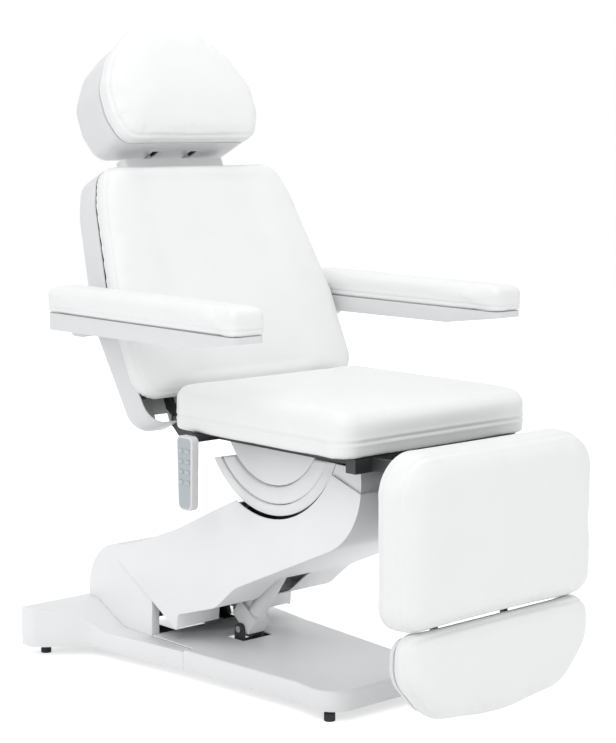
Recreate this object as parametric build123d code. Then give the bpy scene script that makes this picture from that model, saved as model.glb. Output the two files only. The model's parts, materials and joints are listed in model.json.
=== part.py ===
from build123d import *
import os
from math import atan2, cos, degrees, hypot, radians, sin, tan

# Podiatry chair, in millimetres. +Z is up, the sitter faces -Y and the sitter's left is +X.
# The origin is on the floor, under the middle of the chair's bounding box.

# Fits and walls
RUN = 0.05            # radial clearance of a running fit
SEAT_FIT = 0.02       # radial clearance of a pin in the piece that holds it
SOFT_GAP = 0.3        # clearance round a soft part
WALL = 3.5            # moulded cover wall
SKIN_GAP = 2.5        # gap between a moving cover and its neighbour

# Base
BASE_BOTTOM = 26      # underside of the base covers above the floor
FRONT_TOP = 74
FRONT_Y = -354
SEAM_Y = 150
FRONT_HALF = 190
WAIST_HALF = 176
REAR_START_Y = 365
REAR_END_Y = 650
REAR_HALF = 240
LEG_TOP = 92
SILL_TOP = 70
LEG_TIP_X = 374
BASE_TUBE_Z0 = 34
BASE_TUBE_Z1 = 62
BASE_TUBE_X = 100
BASE_TUBE_W = 40
FOOT_FRONT = (152, -314)
FOOT_REAR = (316, 580)
FOOT_R = 13
FOOT_H = 20
STUD_R = 5
LIFT_LUG_Y, LIFT_LUG_Z = 150, 95      # lift actuator's pivot on the base
LIFT_EYE_Y, LIFT_EYE_Z = -100, 440    # its rod end on the arm
LIFT_A = (LIFT_LUG_Y, LIFT_LUG_Z)
LIFT_B = (LIFT_EYE_Y, LIFT_EYE_Z)
LIFT_PIN_R = 8
LIFT_MAX = 18
LIFT_EYE_PLAY = 9     # the rod's eye is wide, because its path is followed by constant ratios
LUG_X0, LUG_X1 = 26, 34

# Lift arm: lower pivot on the base, upper pivot under the seat
P0_Y, P0_Z = 448, 145
P1_Y, P1_Z = -270, 565
SHAFT_R = 12
ARM_BAR_X0, ARM_BAR_X1 = 80, 112
ARM_BAR_H = 60
CHEEK_X0, CHEEK_X1 = 118, 130
TIE_DROP = 70         # the tie bars run this far below the arm's own pivots
TIE_X0, TIE_X1 = 134, 142
TIE_H = 34
TIE_PIN_R = 8
ARM_HALF = 184
HEAD_R = 180
DRUM_R = 135
DRUM_HALF = ARM_HALF - WALL - SKIN_GAP

# Seat tilt: a curved rocker under the seat slides on fixed bushes
TILT_Y, TILT_Z = -135, 690
TILT_MAX = 12
ROCKER_R0, ROCKER_R1 = 100, 125
ROCKER_X0, ROCKER_X1 = 60, 72
GUIDE_R = 10
GUIDE_PIN_R = 5
GUIDE_ANGLE = 30
COVER_IN_R = 175
COVER_MID_R = 217
COVER_OUT_R = 243
COVER_GAP = 1.5
COVER_BACK_X0, COVER_BACK_X1 = 150, 154
COVER_MID_X = 173
COVER_IN_X0, COVER_IN_X1 = 156, 170

# Seat
SEAT_HALF = 298
SEAT_FRONT_Y, SEAT_REAR_Y = -516, 84
SEAT_BOTTOM, SEAT_TOP = 634, 735
BOARD_T = 12
BOARD_IN = 18         # the boards stop this far inside the edge of their cushions
RAIL_X0, RAIL_X1 = 150, 180
RAIL_Z0 = 601
RAIL_Z1 = SEAT_BOTTOM - 2
RAIL_W = 30

# Backrest, in its own upright frame at the hinge: x across, y to the rear, z up the back
BACK_Y, BACK_Z = 150, 640
BACK_LEAN = 24.5
BACK_FRONT = -62
BACK_RIM = -15         # the rear shell wraps the cushion up to here
BACK_CUSHION_BACK = 10
BACK_FRAME_D = 24
BACK_SHELL_BACK = 72
BACK_LOW, BACK_HIGH = 44, 637
BACK_SHELL_LOW = -14
BACK_SHELL_HALF = 316
BACK_PLUG_IN = 9      # the cushion's rear part is this much smaller, to sit inside the shell
BACK_LOW_HALF, BACK_MID_HALF, BACK_SHOULDER_HALF, BACK_HIGH_HALF = 342, 346, 302, 268
BACK_MID_Z, BACK_SHOULDER_Z = 270, 545
BACK_HINGE_X0, BACK_HINGE_X1 = 196, 208
BACK_LUG_X0, BACK_LUG_X1 = 210, 222
BACK_PIN_R = 8
BACK_UPRIGHT = 8
BACK_ROD_X, BACK_ROD_Z = 38, 575
BACK_LEVER_REST = 26  # degrees that the drive lever points behind straight down
BACK_LEVER_X0, BACK_LEVER_X1 = 48, 54

# Headrest, in the backrest's frame
HEAD_LOW, HEAD_HIGH = 680, 996
HEAD_HALF = 231
HEAD_FRONT = -116
HEAD_PAD_BACK = -52
HEAD_SHELL_BACK = 72
POST_X = 60
POST_R = 7
POST_D = 32
POST_LOW = 380
BRIDGE_HALF = 160
HEAD_PIN_Z = 775
HEAD_PIN_R = 6

# Armrests
ARM_X0, ARM_X1 = 352, 451
ARM_FRONT_Y, ARM_REAR_Y = -344, 358
ARM_PAD_Z = 890       # seam between pad and tray at the front end
ARM_PAD_T = 62
ARM_TRAY_FRONT_T, ARM_TRAY_REAR_T = 14, 40
ARM_RISE = -0.4       # degrees, front end up
ARM_PIVOT_D = 32      # pivot's depth in the backrest's frame
ARM_PIVOT_DROP = 36   # and its height below the seam
ARM_PIN_R = 8

# Leg and foot rests
LEG_HALF = 304
LEG_LOW, LEG_HIGH = 291, 665
LEG_FRONT_Y = -706
LEG_PAD_T = 84
LEG_HINGE_Y, LEG_HINGE_Z = -595, 620
LEG_TUBE_FRONT, LEG_TUBE_REAR = -612, -586
LEG_GUIDE_X = 110
LEG_ARM_X0, LEG_ARM_X1 = 184, 194
LEG_LUG_X0, LEG_LUG_X1 = 196, 206
LEG_PIN_R = 8
LEG_ROD_X, LEG_ROD_Z = 232, 575
LEG_LEVER_X0, LEG_LEVER_X1 = 244, 250
FOOT_HALF = 297
FOOT_LOW, FOOT_HIGH = 70, 286
FOOT_FRONT_Y = -704
FOOT_PAD_T = 52
FOOT_BAR_R = 9

# Hand control
HAND_W, HAND_L, HAND_T = 58, 172, 20
HAND_Y, HAND_TOP_Z = -12, 630
HAND_X = SEAT_HALF + 6
HAND_FACE_T = 1.2
KEY_W, KEY_H = 14, 9
KEY_OUT = 1.4

SHIFT_Y = -(LEG_FRONT_Y + REAR_END_Y) / 2


def outline(points, radii):
    """A closed face through the points, each corner rounded by its radius."""
    return make_face(FilletPolyline(*points, radius=radii, close=True))


def across(face, x0, x1):
    """Extrude a side-view face (y, z) from x0 to x1."""
    return extrude(Plane.YZ.offset(x0) * face, amount=x1 - x0)


def rearward(face, y0, y1):
    """Extrude a front-view face (x, z) from y0 back to y1."""
    return extrude(Plane.XZ.offset(-y0) * face, amount=y0 - y1)


def upward(face, z0, z1):
    """Extrude a plan face (x, y) from z0 up to z1."""
    return extrude(Plane.XY.offset(z0) * face, amount=z1 - z0)


def block(x0, x1, y0, y1, z0, z1):
    """A box between two corners."""
    return Pos((x0 + x1) / 2, (y0 + y1) / 2, (z0 + z1) / 2) * Box(x1 - x0, y1 - y0, z1 - z0)


def pin(y, z, r, x0, x1):
    """A round bar along X."""
    return Pos((x0 + x1) / 2, y, z) * Rot(0, 90, 0) * Cylinder(r, x1 - x0)


def post(x, y, r, z0, z1):
    """A round bar along Z."""
    return Pos(x, y, (z0 + z1) / 2) * Cylinder(r, z1 - z0)


def link(a, b, height, x0, x1):
    """A flat bar along X thickness with round ends about the points a and b (y, z)."""
    length = hypot(b[0] - a[0], b[1] - a[1])
    turn = degrees(atan2(b[1] - a[1], b[0] - a[0]))
    face = Pos((a[0] + b[0]) / 2, (a[1] + b[1]) / 2) * Rot(0, 0, turn) * SlotCenterToCenter(length, height)
    return across(face, x0, x1)


def mirrored(shape):
    """The shape and its mirror image across the chair's middle plane."""
    return shape + mirror(shape, about=Plane.YZ)


def save(name, shape):
    """Write one sub-part, moved so that the origin is under the middle of the whole chair."""
    export_step(Pos(0, SHIFT_Y, 0) * shape, f"parts/{name}.step")


# ---------------------------------------------------------------- base

def base_plan(grow=0.0):
    """Plan outline of the whole base, with the two splayed rear legs."""
    half = [
        (FRONT_HALF, FRONT_Y, 66), (WAIST_HALF, FRONT_Y + 130, 80), (SEAM_Y + 58, SEAM_Y, 400),
        (REAR_HALF, REAR_START_Y, 200), (REAR_HALF + 14, 470, 60), (LEG_TIP_X, 560, 30),
        (LEG_TIP_X, REAR_END_Y - 22, 30), (REAR_HALF - 30, REAR_END_Y - 45, 60),
        (150, REAR_END_Y - 6, 50),
    ]
    points = [(x, y) for x, y, r in half] + [(-x, y) for x, y, r in reversed(half)]
    radii = [r for x, y, r in half] + [r for x, y, r in reversed(half)]
    face = outline(points, radii)
    return offset(face, amount=grow) if grow else face


def build_base_frame():
    """Welded tubes, pivot cheeks and actuator lug."""
    x0, x1 = BASE_TUBE_X - BASE_TUBE_W / 2, BASE_TUBE_X + BASE_TUBE_W / 2
    frame = mirrored(block(x0, x1, FRONT_Y + 20, REAR_END_Y - 30, BASE_TUBE_Z0, BASE_TUBE_Z1))
    frame += block(-x1 - 42, x1 + 42, FRONT_Y + 26, FRONT_Y + 60, BASE_TUBE_Z0, BASE_TUBE_Z1)
    rear = FOOT_REAR[1]
    frame += block(-FOOT_REAR[0] - 22, FOOT_REAR[0] + 22, rear - 19, rear + 19, BASE_TUBE_Z0, BASE_TUBE_Z1)
    frame += block(-x1, x1, LIFT_LUG_Y - 20, LIFT_LUG_Y + 20, BASE_TUBE_Z0, BASE_TUBE_Z1)
    cheek = outline([(P0_Y - 70, BASE_TUBE_Z1 - 2), (P0_Y + 70, BASE_TUBE_Z1 - 2),
                     (P0_Y + 30, P0_Z + 28), (P0_Y - 30, P0_Z + 28)], [1, 1, 24, 24])
    frame += mirrored(across(cheek, CHEEK_X0, CHEEK_X1))
    lug = outline([(LIFT_LUG_Y - 18, BASE_TUBE_Z1 - 2), (LIFT_LUG_Y + 18, BASE_TUBE_Z1 - 2),
                   (LIFT_LUG_Y + 14, LIFT_LUG_Z + 14), (LIFT_LUG_Y - 14, LIFT_LUG_Z + 14)], [1, 1, 12, 12])
    frame += mirrored(across(lug, LUG_X0, LUG_X1))
    frame -= pin(P0_Y, P0_Z, SHAFT_R + SEAT_FIT, -200, 200)
    frame -= pin(P0_Y, P0_Z - TIE_DROP, TIE_PIN_R + SEAT_FIT, -200, 200)
    frame -= pin(LIFT_LUG_Y, LIFT_LUG_Z, LIFT_PIN_R + SEAT_FIT, -60, 60)
    for x, y in feet_places():
        frame -= post(x, y, STUD_R + SEAT_FIT, 0, 100)
    return frame


def feet_places():
    """Plan places of the four levelling feet."""
    return [(s * p[0], p[1]) for p in (FOOT_FRONT, FOOT_REAR) for s in (-1, 1)]


def build_feet():
    """Four round rubber feet, each with a seat for its stud."""
    feet = []
    for x, y in feet_places():
        foot = post(x, y, FOOT_R, 0, FOOT_H)
        foot = fillet(foot.edges().filter_by(GeomType.CIRCLE).sort_by(Axis.Z)[-1:], 4)
        feet.append(foot - post(x, y, STUD_R, 6, 60))
    return Compound(feet)


def build_studs():
    """Four threaded studs with hexagon nuts under the base tubes."""
    studs = []
    for x, y in feet_places():
        stud = post(x, y, STUD_R, 6, BASE_TUBE_Z1 - 4)
        stud += upward(Pos(x, y) * RegularPolygon(9, 6), BASE_TUBE_Z0 - 7, BASE_TUBE_Z0)
        studs.append(stud)
    return Compound(studs)


def build_front_cover():
    """Low moulded cover over the front of the base, with a flat pan that reaches the arm's housing."""
    window = block(-400, 400, FRONT_Y - 60, SEAM_Y, BASE_BOTTOM, FRONT_TOP)
    outer = upward(base_plan(), BASE_BOTTOM, FRONT_TOP) & window
    outer = fillet(outer.edges().filter_by(Plane.XY).group_by(Axis.Z)[-1].sort_by(Axis.Y)[:-1], 8)
    inner = upward(base_plan(-WALL), BASE_BOTTOM - 5, FRONT_TOP - WALL)
    inner = inner & block(-400, 400, FRONT_Y - 60, SEAM_Y + 5, 0, FRONT_TOP)
    well = LUG_X1 + 14
    outer += block(-DRUM_HALF, DRUM_HALF, SEAM_Y - 10, P0_Y - DRUM_R - 3, FRONT_TOP - WALL, FRONT_TOP)
    for y in (FRONT_Y + 90, SEAM_Y - 70):
        inner -= mirrored(post(BASE_TUBE_X, y, 8, BASE_TUBE_Z1, FRONT_TOP))
    return outer - inner - block(-well, well, LIFT_LUG_Y - 34, LIFT_LUG_Y + 34, BASE_TUBE_Z1, FRONT_TOP + 5)


def rear_profile(drop=0.0):
    """Side view of the rear cover: low sills at its front, rising behind the arm's housing."""
    return outline([
        (SEAM_Y + 1.5, 0), (SEAM_Y + 1.5, SILL_TOP - drop), (REAR_START_Y + 65, SILL_TOP - drop),
        (P0_Y + 95, 124 - drop), (P0_Y + 148, 128 - drop), (P0_Y + 178, LEG_TOP - drop),
        (REAR_END_Y + 60, LEG_TOP - 4 - drop), (REAR_END_Y + 60, 0)], [0.5, 3, 60, 14, 20, 30, 10, 5])


def housing_face(grow=0.0):
    """Side view of the round housing over the lower pivot."""
    lower = Pos(P0_Y - 18, (BASE_TUBE_Z1 + P0_Z) / 2) * Rectangle(230 + 2 * grow, P0_Z - BASE_TUBE_Z1)
    return Pos(P0_Y, P0_Z) * Circle(DRUM_R + grow) + lower


def build_rear_cover():
    """Moulded rear cover with the two sills and legs, cut out round the pivot housing."""
    outer = upward(base_plan(), BASE_BOTTOM, 140) & across(rear_profile(), -400, 400)
    inner = upward(base_plan(-WALL), BASE_BOTTOM - 5, 140) & across(rear_profile(WALL), -400, 400)
    recess = across(housing_face(1.0), -DRUM_HALF - 1.0, DRUM_HALF + 1.0)
    shell = outer - inner - (recess & block(-400, 400, 200, 700, BASE_TUBE_Z1 - 30, 400))
    shell += mirrored(post(FOOT_REAR[0] - 50, FOOT_REAR[1], 9, BASE_TUBE_Z1, P0_Z - 20))
    return shell - block(-DRUM_HALF - 1, DRUM_HALF + 1, SEAM_Y - 5, P0_Y + 60, 0, 200)


def build_housing():
    """Round housing shell over the lower pivot, open below and toward the arm."""
    keep = block(-400, 400, 200, 700, BASE_TUBE_Z1, 400)
    outer = across(housing_face(), -DRUM_HALF, DRUM_HALF) & keep
    inner = across(housing_face(-WALL), -DRUM_HALF + WALL, DRUM_HALF - WALL)
    inner += block(-DRUM_HALF + WALL, DRUM_HALF - WALL, P0_Y - 110, P0_Y + 80, 0, P0_Z)
    mouth = outline([(P0_Y - 200, 40), (P0_Y - 60, 40), (P0_Y - 60, P0_Z + 20), (P0_Y - 30, P0_Z + 200),
                     (P0_Y - 200, P0_Z + 200)], [1, 1, 1, 1, 1])
    return outer - inner - across(mouth, -DRUM_HALF + 24, DRUM_HALF - 24)


def build_base_pins():
    """Lower arm shaft, the two lower tie pins and the lift actuator's lug pin."""
    pins = [pin(P0_Y, P0_Z, SHAFT_R, -CHEEK_X1 - 4, CHEEK_X1 + 4)]
    for side in (-1, 1):
        ends = sorted((side * CHEEK_X0, side * (TIE_X1 + 4)))
        pins.append(pin(P0_Y, P0_Z - TIE_DROP, TIE_PIN_R, *ends))
    pins.append(pin(LIFT_LUG_Y, LIFT_LUG_Z, LIFT_PIN_R, -LUG_X1 - 3, LUG_X1 + 3))
    return Compound(pins)


# ---------------------------------------------------------------- lift arm

def build_arm_frame():
    """Two side bars, the two pivot tubes and the bar that the lift rod pushes."""
    p0, p1 = (P0_Y, P0_Z), (P1_Y, P1_Z)
    frame = mirrored(link(p0, p1, ARM_BAR_H, ARM_BAR_X0, ARM_BAR_X1))
    for y, z in (p0, p1):
        frame += pin(y, z, SHAFT_R + 12, -ARM_BAR_X0, ARM_BAR_X0)
    frame += pin(LIFT_EYE_Y, LIFT_EYE_Z, LIFT_PIN_R, -ARM_BAR_X0 - 5, ARM_BAR_X0 + 5)
    reach = ARM_HALF - WALL
    for t in (0.2, 0.55):
        y, z = P0_Y + (P1_Y - P0_Y) * t, P0_Z + (P1_Z - P0_Z) * t
        frame += mirrored(pin(y, z, 7, ARM_BAR_X1 - 2, reach))
    for y, z in (p0, p1):
        frame -= pin(y, z, SHAFT_R + RUN, -200, 200)
    return frame


def arm_cover_face():
    """Side view of the arm cover before its head is cut out round the seat's covers."""
    corners = [
        (P0_Y - 16, P0_Z + 138, 6), (P0_Y - 115, P0_Z + 166, 60), (P0_Y - 257, P0_Z + 221, 100),
        (P0_Y - 388, P0_Z + 283, 60), (TILT_Y + 75, TILT_Z - 208, 10),
        (P1_Y - HEAD_R, P1_Z + 75, 1), (P1_Y - HEAD_R, P1_Z - 0.678 * HEAD_R, HEAD_R - 2),
        (P1_Y + 1.4 * HEAD_R, P1_Z - 1.728 * HEAD_R, 150), (P0_Y - 391, P0_Z + 47, 80), (P0_Y - 246, P0_Z + 3, 14),
        (P0_Y - 242, P0_Z - 38, 5), (P0_Y + 7, P0_Z + 101, 6)]
    return outline([(y, z) for y, z, r in corners], [r for y, z, r in corners])


def build_arm_cover():
    """Moulded shell over the arm, open toward the housing, at its head and over the actuator."""
    bite = Pos(TILT_Y, TILT_Z) * Circle(COVER_OUT_R + 7)
    wide_bite = Pos(TILT_Y, TILT_Z) * Circle(COVER_OUT_R + 32)
    room, fall = RAIL_Z0 - 2 - P1_Z, tan(radians(LIFT_MAX))
    front, rear = P1_Y - 300, P1_Y + 100
    below_rails = outline([(front, P1_Z + room + fall * (front - P1_Y)), (rear, P1_Z + room + fall * (rear - P1_Y)),
                           (P0_Y + 200, P1_Z), (P0_Y + 200, -200), (front, -200)], [1, 1, 1, 1, 1])
    face = arm_cover_face() & below_rails
    outer = across(face - bite, -ARM_HALF, ARM_HALF)
    inside = ARM_HALF - WALL
    inner = across(offset(arm_cover_face(), amount=-WALL), -inside, inside)
    inner += across(wide_bite, -inside, inside)
    band = outline([(P0_Y - 245, P0_Z - 60), (P0_Y + 60, P0_Z - 60), (P0_Y + 60, P0_Z + 136),
                    (P0_Y - 20, P0_Z + 136), (P0_Y + 1, P0_Z + 103), (P0_Y - 245, P0_Z - 33)],
                   [1, 1, 1, 1, 1, 1])
    inner += across(band, -inside, inside)
    inner += across(Pos(P0_Y, P0_Z) * Circle(DRUM_R + SKIN_GAP), -inside, inside)
    slot = LUG_X1 + 18
    inner += block(-slot, slot, LIFT_LUG_Y - 175, LIFT_LUG_Y + 120, P0_Z - 60, P0_Z + 130)
    return outer - inner


def build_tie_bars():
    """The two lower bars of the parallelogram that keeps the seat level."""
    bar = link((P0_Y, P0_Z - TIE_DROP), (P1_Y, P1_Z - TIE_DROP), TIE_H, TIE_X0, TIE_X1)
    for y, z in ((P0_Y, P0_Z - TIE_DROP), (P1_Y, P1_Z - TIE_DROP)):
        bar -= pin(y, z, TIE_PIN_R + RUN, 100, 200)
    return mirrored(bar)


# ---------------------------------------------------------------- linear actuators

def actuator_body(pin_r, tube_r, rod_r, tube_end, half):
    """Motor, gear housing and outer tube along +Y, with the pivot eye at the origin."""
    body = pin(0, 0, pin_r + 8, -half, half)
    body += block(-half, half, 6, 56, -tube_r - 26, tube_r + 4)
    body += Pos(0, (56 + tube_end) / 2, 0) * Rot(90, 0, 0) * Cylinder(tube_r, tube_end - 56)
    body += Pos(0, 92, -tube_r - 8) * Rot(90, 0, 0) * Cylinder(16, 72)
    body -= pin(0, 0, pin_r + RUN, -100, 100)
    return body - Pos(0, (70 + tube_end + 20) / 2, 0) * Rot(90, 0, 0) * Cylinder(rod_r + RUN, tube_end - 50)


def actuator_rod(rod_r, start, length, hole_r, half):
    """Rod along +Y from inside the tube to its eye at the given length."""
    rod = Pos(0, (start + length - hole_r) / 2, 0) * Rot(90, 0, 0) * Cylinder(rod_r, length - hole_r - start)
    rod += pin(length, 0, hole_r + 5, -half, half)
    return rod - pin(length, 0, hole_r, -100, 100)


def aim(a, b, shape):
    """Turn a shape that lies along +Y so that it runs from a to b (y, z)."""
    turn = degrees(atan2(b[1] - a[1], b[0] - a[0]))
    return Pos(0, a[0], a[1]) * Rot(turn, 0, 0) * shape


def build_lift_actuator():
    """Motor and tube of the lift, on the base lug."""
    return aim(LIFT_A, LIFT_B, actuator_body(LIFT_PIN_R, 22, 12, 330, LUG_X0 - 1))


def build_lift_rod():
    """Rod of the lift, round the arm's cross bar."""
    length = hypot(LIFT_B[0] - LIFT_A[0], LIFT_B[1] - LIFT_A[1])
    return aim(LIFT_A, LIFT_B, actuator_rod(12, 130, length, LIFT_PIN_R + LIFT_EYE_PLAY, 14))


# ---------------------------------------------------------------- carrier under the seat

TILT_A = (-250, 472)       # tilt actuator's pivot on the carrier
TILT_B = (20, 583)         # its rod end on the seat frame
TILT_PIN_R = 6
TILT_EYE_PLAY = 1.5
TILT_EYE_HALF = 12
GUIDE_PLACES = [(TILT_Y + s * (ROCKER_R1 + GUIDE_R + 0.3) * sin(radians(GUIDE_ANGLE)),
                  TILT_Z - (ROCKER_R1 + GUIDE_R + 0.3) * cos(radians(GUIDE_ANGLE))) for s in (-1, 1)]
COVER_BOSSES = [(-326, 556), (-48, 497)]
COVER_TOP = RAIL_Z0 - 3
HOOD_X1 = ARM_HALF - WALL - SKIN_GAP


def build_carrier():
    """Two cheeks tied by cross tubes; it stays level on the arm and the tie bars."""
    cheek = outline([(-352, 590), (-140, 590), (-35, 568), (-25, 505), (-60, 462), (-205, 440), (-300, 455),
                     (-352, 530)], [14, 60, 14, 20, 20, 40, 30, 30])
    frame = mirrored(across(cheek, CHEEK_X0, CHEEK_X1))
    for y, z in ((-335, 545), (-45, 510)):
        frame += pin(y, z, 9, -CHEEK_X0, CHEEK_X0)
    for y, z in COVER_BOSSES:
        frame += mirrored(pin(y, z, 8, CHEEK_X1, COVER_BACK_X0))
    frame += mirrored(pin(*TILT_A, 11, 21, CHEEK_X0))
    frame -= pin(P1_Y, P1_Z, SHAFT_R + SEAT_FIT, -200, 200)
    frame -= pin(P1_Y, P1_Z - TIE_DROP, TIE_PIN_R + SEAT_FIT, -200, 200)
    frame -= pin(*TILT_A, TILT_PIN_R + SEAT_FIT, -60, 60)
    for y, z in GUIDE_PLACES:
        frame -= pin(y, z, GUIDE_PIN_R + SEAT_FIT, -200, 200)
    return frame


def build_carrier_pins():
    """Upper arm shaft, upper tie pins, tilt pin and the four bush pins."""
    pins = [pin(P1_Y, P1_Z, SHAFT_R, -CHEEK_X1 - 2, CHEEK_X1 + 2), pin(*TILT_A, TILT_PIN_R, -40, 40)]
    for s in (-1, 1):
        pins.append(pin(P1_Y, P1_Z - TIE_DROP, TIE_PIN_R, *sorted((s * CHEEK_X0, s * (TIE_X1 + 4)))))
        for y, z in GUIDE_PLACES:
            pins.append(pin(y, z, GUIDE_PIN_R, *sorted((s * (ROCKER_X0 - 2), s * CHEEK_X1))))
    return Compound(pins)


def build_guides():
    """Four fixed plastic bushes on which the curved rocker slides."""
    guides = []
    for s in (-1, 1):
        for y, z in GUIDE_PLACES:
            ends = sorted((s * ROCKER_X0, s * (ROCKER_X1 + 2)))
            guides.append(pin(y, z, GUIDE_R, *ends) - pin(y, z, GUIDE_PIN_R + SEAT_FIT, -200, 200))
    return Compound(guides)


def below_seat():
    """Side-view area that the seat's rails leave free at both ends of the tilt."""
    fall = tan(radians(TILT_MAX))
    return outline([(-500, 300), (150, 300), (150, COVER_TOP - 2 - fall * (150 - TILT_Y)),
                    (TILT_Y, COVER_TOP - 2), (-500, COVER_TOP - 2)], [1, 1, 1, 1, 1])


def build_back_covers():
    """Outer pair of round side covers with a raised rim, fixed to the carrier."""
    face = (Pos(TILT_Y, TILT_Z) * Circle(COVER_OUT_R)) & below_seat()
    rim = (Pos(TILT_Y, TILT_Z) * (Circle(COVER_OUT_R) - Circle(COVER_MID_R + COVER_GAP))) & below_seat()
    return mirrored(across(face, COVER_BACK_X0, COVER_BACK_X1) + across(rim, COVER_BACK_X1, COVER_MID_X + 2))


def build_middle_covers():
    """Middle pair of round side covers: thick rings on the outer pair."""
    ring = Circle(COVER_MID_R) - Circle(COVER_IN_R + COVER_GAP)
    face = (Pos(TILT_Y, TILT_Z) * ring) & below_seat()
    return mirrored(across(face, COVER_BACK_X1, COVER_MID_X))


def build_inner_covers():
    """Inner pair of round side covers, which tilt with the seat."""
    face = (Pos(TILT_Y, TILT_Z) * Circle(COVER_IN_R)) & (
        Pos(TILT_Y, RAIL_Z0 - 200) * Rectangle(600, 400))
    return mirrored(across(face, COVER_IN_X0, COVER_IN_X1))


def build_head_cover():
    """Hood on the carrier that closes the arm's head above the arm cover: a curved strip and two sides."""
    band = Circle(HEAD_R - WALL - SKIN_GAP) - Circle(HEAD_R - WALL - SKIN_GAP - 3)
    sector = outline([(P1_Y - 60, P1_Z - 75), (P1_Y - 260, P1_Z - 60), (P1_Y - 260, COVER_TOP - 2),
                      (P1_Y - 60, COVER_TOP - 2)], [1, 1, 1, 1])
    strip = across((Pos(P1_Y, P1_Z) * band) & sector, -HOOD_X1, HOOD_X1)
    side = outline([(P1_Y - 260, P1_Z - 75), (P1_Y - 260, COVER_TOP - 2), (P1_Y, COVER_TOP - 2),
                    (P1_Y, P1_Z - 30)], [1, 1, 1, 1])
    side = side & (Pos(P1_Y, P1_Z) * Circle(HEAD_R - WALL - SKIN_GAP))
    strip += mirrored(across(side - Pos(TILT_Y, TILT_Z) * Circle(COVER_OUT_R + 4), HOOD_X1 - 3, HOOD_X1))
    for x in (CHEEK_X0, -CHEEK_X1):
        strip += block(x, x + CHEEK_X1 - CHEEK_X0, P1_Y - HEAD_R + 8, -352, 545, 570)
    return strip


# ---------------------------------------------------------------- seat

DRIVE_R = 14               # tube of the back and leg actuators
DRIVE_ROD_R = 8
DRIVE_PIN_R = 5
BACK_LEVER_H = BACK_Z - BACK_ROD_Z
BACK_ROD_PIN_Y = BACK_Y + BACK_LEVER_H * tan(radians(BACK_LEVER_REST))
LEG_LEVER_H = LEG_HINGE_Z - LEG_ROD_Z
LEG_ROD_PIN_Y = LEG_HINGE_Y + LEG_LEVER_H
CROSS_FRONT_Y = SEAT_FRONT_Y + 11
CROSS_REAR_Y = SEAT_REAR_Y - 44
BACK_MOTOR_Y = TILT_Y - 80     # the back drive's motor hangs under a cross rail here


def build_seat_frame():
    """Rails, cross rails, rocker tracks, hinge lugs and the outrigger for the leg drive."""
    front, rear = CROSS_FRONT_Y, CROSS_REAR_Y
    frame = mirrored(block(RAIL_X0, RAIL_X1, front, rear + RAIL_W, RAIL_Z0, RAIL_Z1))
    for y in (front, rear):
        frame += block(-252, 252, y, y + RAIL_W, RAIL_Z0, RAIL_Z1)
    for y in (BACK_MOTOR_Y, TILT_Y + 70):
        frame += block(-RAIL_X0, RAIL_X0, y, y + RAIL_W, RAIL_Z0, RAIL_Z1)
    frame += block(RAIL_X1, LEG_ROD_X + DRIVE_R + 4, -290, -290 + RAIL_W, RAIL_Z0, RAIL_Z1)
    ring = Pos(TILT_Y, TILT_Z) * (Circle(ROCKER_R1) - Circle(ROCKER_R0))
    under = Pos(TILT_Y, RAIL_Z0 + 4 - 100) * Rectangle(400, 200)
    frame += mirrored(across(ring & under, ROCKER_X0, ROCKER_X1))
    lug = outline([(rear + 5, RAIL_Z0 + 1), (BACK_Y - 10, RAIL_Z0 + 1), (BACK_Y + 17, BACK_Z - 15),
                   (BACK_Y + 17, BACK_Z + 17), (BACK_Y - 17, BACK_Z + 17), (BACK_Y - 34, RAIL_Z1 - 3),
                   (rear + 5, RAIL_Z1 - 3)], [1, 8, 8, 14, 14, 8, 1])
    frame += mirrored(across(lug, BACK_LUG_X0, BACK_LUG_X1))
    mid = (RAIL_Z0 + RAIL_Z1) / 2
    frame += mirrored(link((front + 14, mid), (LEG_HINGE_Y, LEG_HINGE_Z), 28, LEG_LUG_X0, LEG_LUG_X1))
    frame += mirrored(block(TILT_EYE_HALF + 2, TILT_EYE_HALF + 10, TILT_B[0] - 10, rear + 4,
                            TILT_B[1] - 12, RAIL_Z0 + 14))
    frame += block(-RAIL_X0, RAIL_X0, TILT_B[0] - 10, rear, RAIL_Z0, RAIL_Z0 + 14)
    frame -= pin(BACK_Y, BACK_Z, BACK_PIN_R + SEAT_FIT, -300, 300)
    frame -= pin(LEG_HINGE_Y, LEG_HINGE_Z, LEG_PIN_R + SEAT_FIT, -300, 300)
    return frame - pin(*TILT_B, TILT_PIN_R + SEAT_FIT, -60, 60)


def build_seat_pins():
    """Back hinge pins, leg hinge pins and the pin of the tilt rod."""
    pins = [pin(*TILT_B, TILT_PIN_R, -TILT_EYE_HALF - 11, TILT_EYE_HALF + 11)]
    for s in (-1, 1):
        ends = sorted((s * (BACK_HINGE_X0 - 3), s * (BACK_LUG_X1 + 3)))
        pins.append(pin(BACK_Y, BACK_Z, BACK_PIN_R, *ends))
        ends = sorted((s * (LEG_ARM_X0 - 3), s * (LEG_LUG_X1 + 3)))
        pins.append(pin(LEG_HINGE_Y, LEG_HINGE_Z, LEG_PIN_R, *ends))
    return Compound(pins)


def build_seat_board():
    """Plywood board under the seat cushion."""
    half, y0, y1 = SEAT_HALF - BOARD_IN, SEAT_FRONT_Y + BOARD_IN, SEAT_REAR_Y - BOARD_IN
    face = outline([(-half, y0), (half, y0), (half, y1), (-half, y1)], [40, 40, 30, 30])
    return upward(face, RAIL_Z1, RAIL_Z1 + BOARD_T)


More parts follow.
